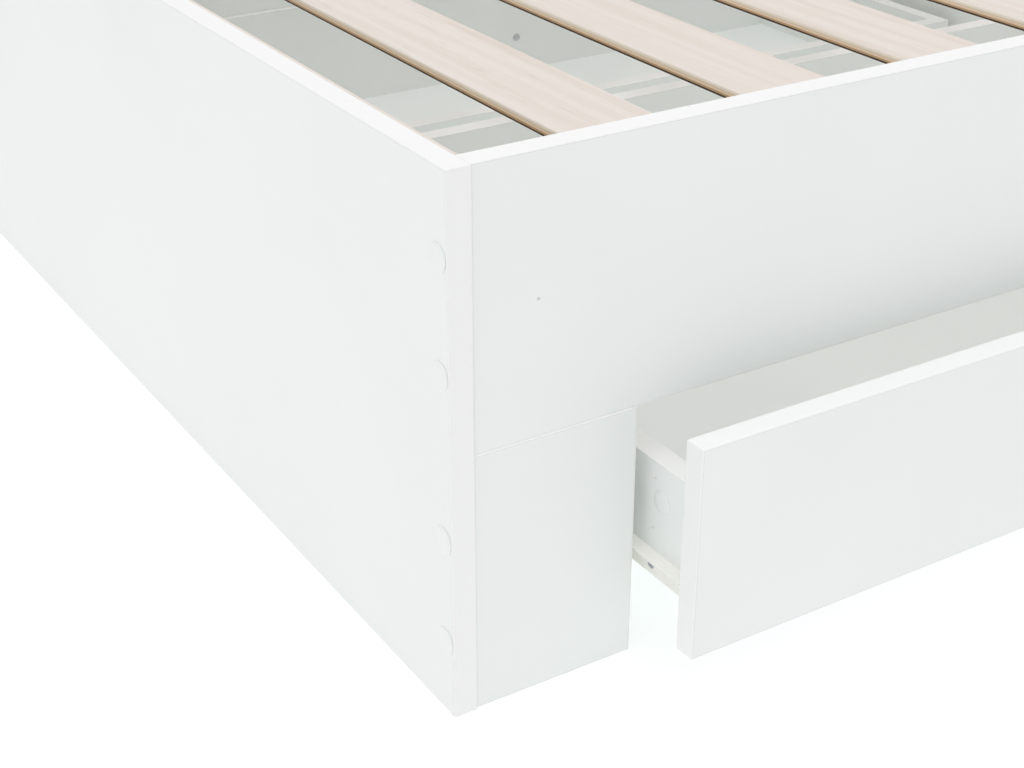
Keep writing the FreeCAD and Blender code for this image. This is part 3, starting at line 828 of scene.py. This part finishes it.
# %% Screw masters (millimetres)
proud = 0.25
pan_head = 2.4
recess_length, recess_width, recess_depth = 3.7, 0.85, 1.5
pan_from_radius = 3.7
steps_round_screw = 40


def screw_master(length, pan):
    """Countersunk screw with its face at z = 0, or a pan-head screw with its top there."""
    if pan:
        under = -pan_head
        head = [(2.0, under), (4.0, under), (4.0, under + 0.9), (3.75, under + 1.6),
                (3.2, under + 2.1), (2.3, -0.08), (0, 0)]
        shank = 2.0
    else:
        head = [(1.75, -3.2), (1.9, -2.0), (3.15, -0.15), (3.3, 0.0), (3.3, proud * 0.6),
                (3.1, proud), (0, proud)]
        shank = 1.75
    point = [(0, -length), (0.35, -length + 0.8), (shank, -length + 4.0)]
    body = turned("screw", point + head, steps_round_screw)
    cutter = cross_cutter(recess_length, recess_width, recess_depth, head[-1][1])
    return cut_away(body, cutter)


def driven(name, seats):
    """Finished screws on their seats, as one mesh object for each kind and length."""
    kinds = {}
    for seat in seats:
        kinds.setdefault((seat["head"] > pan_from_radius, seat["length"]), []).append(seat)
    made = []
    for number, (pan, length) in enumerate(sorted(kinds)):
        rows = kinds[pan, length]
        made.append(run_tree("%s_%d" % (name, number), [row["seat"] for row in rows],
                             parts_on_seats,
                             {"Part": screw_master(length, pan), "Seed": 11 + number,
                              "Turn": 2 * math.pi, "Finish": finish["zinc_steel"]},
                             [row["facing"] for row in rows]))
        print(name, "pan head" if pan else "countersunk", length, "mm:", len(rows))
    return made


def joined(name, objects):
    """One mesh object out of several that share a finish."""
    work = bmesh.new()
    for each in objects:
        work.from_mesh(each.data)
    mesh = bpy.data.meshes.new(name)
    work.to_mesh(mesh)
    work.free()
    shade(mesh)
    mesh.materials.append(finish["zinc_steel"])
    return bpy.data.objects.new(name, mesh)


# %% Frame screws that show
put_on(joined("driven_screws", driven("frame_screw", screw_seats)), "frame", "zinc_steel",
       "wood_screws")

# %% [markdown]
# A drawer's fasteners are one CAD node: screws, and also cams, bolts and dowels, which are plain
# round rods inside the boards. A rod is as wide at one end as at the other and a screw is not,
# so the screws are found by that, taken out of a copy of the node and replaced by finished ones.


# %% Drawer fasteners
def is_screw(seat):
    """Whether one end is much wider than the other."""
    return seat["head"] > 1.5 * seat["tail"]


for name in drawer_names:
    node = name + "_drawer_fasteners"
    work = merged_copy(node)
    taken, drawer_seats = [], []
    for part in loose_parts(work):
        seat = seat_of_screw([vertex.co for vertex in part])
        if is_screw(seat):
            drawer_seats.append(seat)
            taken.extend(part)
    bmesh.ops.delete(work, geom=taken, context="VERTS")
    mesh = bpy.data.meshes.new("rods")
    work.to_mesh(mesh)
    work.free()
    drawer_seats.sort(key=lambda seat: tuple(round(number, 4) for number in seat["seat"]))
    rods = bpy.data.objects.new("rods", mesh)
    put_on(joined(node + "_fitted", [rods] + driven(name, drawer_seats)), name + "_drawer",
           "zinc_steel", node)

# %% [markdown]
# ## Cover caps
# Thin plastic discs hide the connectors in the end boards. A moulded cap is slightly domed, with
# a rounded rim, and a fine step where its rim meets the board gives it a thin shadow line.

# %% Caps
cap_low, cap_high = cap_boxes[0]
cap_radius = (cap_high.y - cap_low.y) / 2 / millimetre
cap_height = (cap_high.x - cap_low.x) / millimetre
cap = turned("cover_cap", [
    (0, 0), (cap_radius - 0.35, 0), (cap_radius - 0.35, 0.12), (cap_radius, 0.18),
    (cap_radius, 0.55), (cap_radius - 0.12, 0.78), (cap_radius - 0.45, 0.95),
    (cap_radius - 1.2, 1.05), (cap_radius * 0.55, cap_height - 0.03), (0, cap_height)], 64)
caps_at, caps_face = [], []
for low, high in cap_boxes:
    outward = 1 if low.x > 0 else -1
    centre = (low + high) / 2
    centre.x = low.x if outward > 0 else high.x
    caps_at.append(centre)
    caps_face.append((outward, 0, 0))
caps = run_tree("caps", caps_at, parts_on_seats,
                {"Part": cap, "Seed": 5, "Turn": 2 * math.pi, "Finish": finish["cap_plastic"]},
                caps_face)
put_on(caps, "frame", "cap_plastic", "cover_caps")
print("cap: radius", cap_radius, "height", cap_height)

# %% [markdown]
# ## Cam covers
# The cams in the drawers' outer sides are closed with small white push-in covers, so only a thin
# curved shadow shows where one sits. Each drawer side has one, on its outer face. The cams are
# the widest of the round parts in that node, so the script looks for them by their box.

# %% Covers
cover_radius, cover_height = 8.0, 0.6
cover = turned("cam_cover", [
    (0, 0), (cover_radius - 0.3, 0), (cover_radius - 0.3, 0.08), (cover_radius, 0.14),
    (cover_radius, 0.34), (cover_radius - 0.25, 0.52), (cover_radius * 0.5, cover_height),
    (0, cover_height)], 56)
widest_rod = 14 * millimetre
for name in drawer_names:
    front_low, front_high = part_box(name + "_drawer_front")
    middle = (front_low.x + front_high.x) / 2
    seats, ways = [], []
    for low, high in [box_of(part) for part in islands(name + "_drawer_fasteners")]:
        if min(high.y - low.y, high.z - low.z) < widest_rod:
            continue
        seat = (low + high) / 2
        way = 1 if seat.x > middle else -1
        seat.x = high.x if way > 0 else low.x
        seats.append(seat)
        ways.append((way, 0, 0))
    closed = run_tree(name + "_cam_covers", seats, parts_on_seats,
                      {"Part": cover, "Seed": 1, "Turn": 0.0, "Finish": finish["cap_plastic"]},
                      ways)
    put_on(closed, name + "_drawer", "cap_plastic")

# %% [markdown]
# ## Rollers
# A slide roller is a moulded nylon wheel: a crowned tread, a web set in from both faces to save
# material, and a hub round the stud. The CAD gives each pair of rollers its own body, because
# they turn as the drawer moves, so there is one finished pair for each of those bodies.

# %% Rollers (millimetres)
bore = 2.15
web_inset = 1.1


def roller_master(radius, width):
    """Nylon wheel with its bore along Z."""
    face, web = width / 2, width / 2 - web_inset
    right = [(bore, -face), (bore + 1.2, -face), (bore + 1.35, -web), (radius - 2.0, -web),
             (radius - 1.75, -face), (radius - 0.45, -face), (radius - 0.12, -face + 0.18),
             (radius, -face + 0.6)]
    left = [(r, -h) for r, h in reversed(right)]
    return turned("roller", right + left, 64)


for body in frame["bodies"]:
    if not body.endswith("_rollers"):
        continue
    wheels = [box_of(part) for part in islands(body)]
    low, high = wheels[0]
    radius = (high.z - low.z) / 2 / millimetre
    width = (high.x - low.x) / millimetre
    pair = run_tree(body + "_wheels", [(low + high) / 2 for low, high in wheels], parts_on_seats,
                    {"Part": roller_master(radius, width), "Seed": 2, "Turn": 0.0,
                     "Finish": finish["roller_nylon"]}, [(1, 0, 0)] * len(wheels))
    put_on(pair, body, "roller_nylon", body)

# %% [markdown]
# ## Slats
# The slats are one row with one rule: the same flat plywood strip, repeated at an even pitch. A
# tree says this directly. It sweeps a rounded rectangle across the bed, puts the strip at every
# point of a line, gives each copy a random number for its grain, and then makes the row real.
# The sizes come from the CAD slats, so the tree has to agree with them.

# %% Tree: row of slats
def build_row_of_slats():
    """Tree that makes Count strips, Pitch apart."""
    tree, given, out = geometry_tree(
        "row_of_slats", [("Count", "NodeSocketInt"), ("First", VECTOR), ("Pitch", NUMBER),
                         ("Width", NUMBER), ("Thickness", NUMBER), ("Length", NUMBER),
                         ("Edge Radius", NUMBER), ("Seed", "NodeSocketInt"),
                         ("Finish", "NodeSocketMaterial")])
    section = add(tree, "GeometryNodeCurvePrimitiveQuadrilateral",
                  {"Width": given["Width"], "Height": given["Thickness"]}, mode="RECTANGLE")
    eased = add(tree, "GeometryNodeFilletCurve",
                {"Curve": section.outputs[0], "Count": 4, "Radius": given["Edge Radius"],
                 "Limit Radius": True}, mode="POLY")
    half = maths(tree, "MULTIPLY", given["Length"], 0.5)
    start = add(tree, "ShaderNodeCombineXYZ", {1: maths(tree, "MULTIPLY", half, -1.0)})
    end = add(tree, "ShaderNodeCombineXYZ", {1: half})
    line = add(tree, "GeometryNodeCurvePrimitiveLine",
               {"Start": start.outputs[0], "End": end.outputs[0]})
    level = add(tree, "GeometryNodeSetCurveNormal", {"Curve": line.outputs[0]}, mode="Z_UP")
    strip = add(tree, "GeometryNodeCurveToMesh",
                {"Curve": level.outputs[0], "Profile Curve": eased.outputs[0],
                 "Fill Caps": True})
    pitch = add(tree, "ShaderNodeCombineXYZ", {0: given["Pitch"]})
    row = add(tree, "GeometryNodeMeshLine",
              {"Count": given["Count"], "Start Location": given["First"],
               "Offset": pitch.outputs[0]}, mode="OFFSET")
    placed = add(tree, "GeometryNodeInstanceOnPoints",
                 {"Points": row.outputs[0], "Instance": strip.outputs[0]})
    number = add(tree, "FunctionNodeRandomValue", {"Seed": given["Seed"]}, data_type="FLOAT")
    marked = add(tree, "GeometryNodeStoreNamedAttribute",
                 {"Geometry": placed.outputs[0], "Name": "slat_seed"},
                 data_type="FLOAT", domain="INSTANCE")
    feed(tree, marked.inputs["Value"], number.outputs[1])
    real = add(tree, "GeometryNodeRealizeInstances", {"Geometry": marked.outputs[0]})
    feed(tree, out["Geometry"],
         add(tree, "GeometryNodeSetMaterial", {"Geometry": real.outputs[0],
                                               "Material": given["Finish"]}).outputs[0])
    return tree


# %% Slats
slat_edge_radius = 1.1 * millimetre
slat_boxes = [box_of(part) for part in islands("slats")]
first_low, first_high = slat_boxes[0]
slat_size = first_high - first_low
pitch = (slat_boxes[-1][0].x - first_low.x) / (len(slat_boxes) - 1)
slats = run_tree("slat_row", [(0, 0, 0)], build_row_of_slats(),
                 {"Count": len(slat_boxes), "First": (first_low + first_high) / 2,
                  "Pitch": pitch, "Width": slat_size.x, "Thickness": slat_size.z,
                  "Length": slat_size.y, "Edge Radius": slat_edge_radius, "Seed": 8,
                  "Finish": finish["slat_plywood"]})
shade(slats.data)
put_on(slats, "frame", "slat_plywood", "slats")
print("slats:", len(slat_boxes), "pitch mm:", round(pitch / millimetre, 2),
      "size mm:", [round(side / millimetre, 1) for side in slat_size])

# %% [markdown]
# ## Slides
# The slide members are folded from sheet steel, so their bends are round. The CAD has them with
# square corners, which is right for collision. Two modifiers soften them without touching the
# CAD mesh: Weld joins its loose triangles, and Bevel rounds every edge sharper than 50 degrees.

# %% Rounded slides
bend_radius = 0.45 * millimetre
bend_steps = 2
bend_from_angle = math.radians(50)
weld_reach = 0.005 * millimetre


def soften(node):
    """Welds the node's triangles and rounds its folds, by modifiers only."""
    weld = frame["nodes"][node].modifiers.new("weld", "WELD")
    weld.merge_threshold = weld_reach
    bevel = frame["nodes"][node].modifiers.new("bends", "BEVEL")
    bevel.width = bend_radius
    bevel.segments = bend_steps
    bevel.limit_method = "ANGLE"
    bevel.angle_limit = bend_from_angle
    bevel.harden_normals = True


for node, slot in slot_of_node.items():
    if slot == "cream_steel":
        soften(node)
        print("softened", node)

# %% [markdown]
# ## Floor, light and camera
# The floor is a plain pale studio sheet that runs past the edge of the view. Light comes from a
# bright, even dome and two very large soft lamps, one from above and one from the foot end, so
# that the tops are lightest, the foot end next, and the long side a little darker. The one from
# above is made of two lamps in the same place, and the stronger of them casts no shadows. It
# stands in for what the walls and ceiling of a white studio throw back, and it keeps the drawers
# and the space under the slats bright. The camera stands at the foot corner, above the bed, and
# looks down at it.

# %% Floor
floor_size = 60
floor_white, floor_white_low, floor_glow = (0.98, 0.98, 0.98), (0.965, 0.965, 0.965), 0.08
bpy.ops.mesh.primitive_plane_add(size=floor_size, location=(0, 0, 0))
floor = bpy.context.object
floor.name = "floor"
floor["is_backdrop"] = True
material, tree, surface, place = new_material("studio_floor", (0.97, 0.97, 0.97), 0.9,
                                              Specular_IOR_Level=0.1)
tone = mix_colours(tree, noise(tree, place, 0.8, 2.0), floor_white_low, floor_white)
tree.links.new(tone, surface.inputs["Base Color"])
surface.inputs["Emission Color"].default_value = (1.0, 1.0, 1.0, 1.0)
surface.inputs["Emission Strength"].default_value = floor_glow
floor.data.materials.append(material)
print("floor:", floor_size, "m wide")


# %% Light
white_light, warm_light = (1.0, 1.0, 1.0), (1.0, 0.995, 0.985)
dome_strength = 0.75
overhead = {"spot": (-0.6, -0.4, 4.2), "aim": (0, 0, 0.2), "size": 3.2, "colour": white_light}
foot_end = {"spot": (-4.6, -1.2, 1.8), "aim": (-0.8, 0, 0.3), "size": 3.0, "colour": warm_light}


def lamp(name, power, spot, aim, size, colour, shadows=True):
    """Round area lamp at spot, facing aim; size in metres and power in watts."""
    light = bpy.data.lights.new(name, "AREA")
    light.use_shadow = shadows
    light.shape = "DISK"
    light.size = size
    light.energy = power
    light.color = colour
    holder = bpy.data.objects.new(name, light)
    holder.location = spot
    holder.rotation_euler = (Vector(aim) - Vector(spot)).to_track_quat("-Z", "Y").to_euler()
    bpy.context.scene.collection.objects.link(holder)
    print("lamp", name, power, "W")


world = bpy.data.worlds.new("studio")
bpy.context.scene.world = world
world.use_nodes = True
dome = world.node_tree.nodes["Background"]
dome.inputs["Color"].default_value = (*white_light, 1.0)
dome.inputs["Strength"].default_value = dome_strength
lamp("overhead", 22, **overhead)
lamp("overhead_fill", 34, **overhead, shadows=False)
lamp("foot_end", 9, **foot_end)

# %% Camera
eye = (-1.436, -1.205, 0.672)
look_down, look_right = math.radians(27.53), math.radians(31.92)
lens, sensor_width = 61.1, 36
camera_data = bpy.data.cameras.new("camera")
camera_data.lens = lens
camera_data.sensor_width = sensor_width
camera = bpy.data.objects.new("camera", camera_data)
camera.location = eye
camera.rotation_euler = (math.pi / 2 - look_down, 0, -look_right)
bpy.context.scene.collection.objects.link(camera)
bpy.context.scene.camera = camera
bpy.context.scene.view_settings.view_transform = "Standard"
bpy.context.scene.cycles.diffuse_bounces = 12
print("camera at", eye, "lens", lens, "mm")

# %% Sizes and finish
bpy.context.view_layer.update()
seen_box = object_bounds()
for label, (low, high) in (("CAD", cad_box), ("finished", seen_box)):
    print(label, "box mm:", [round(side / millimetre, 1) for side in high - low])
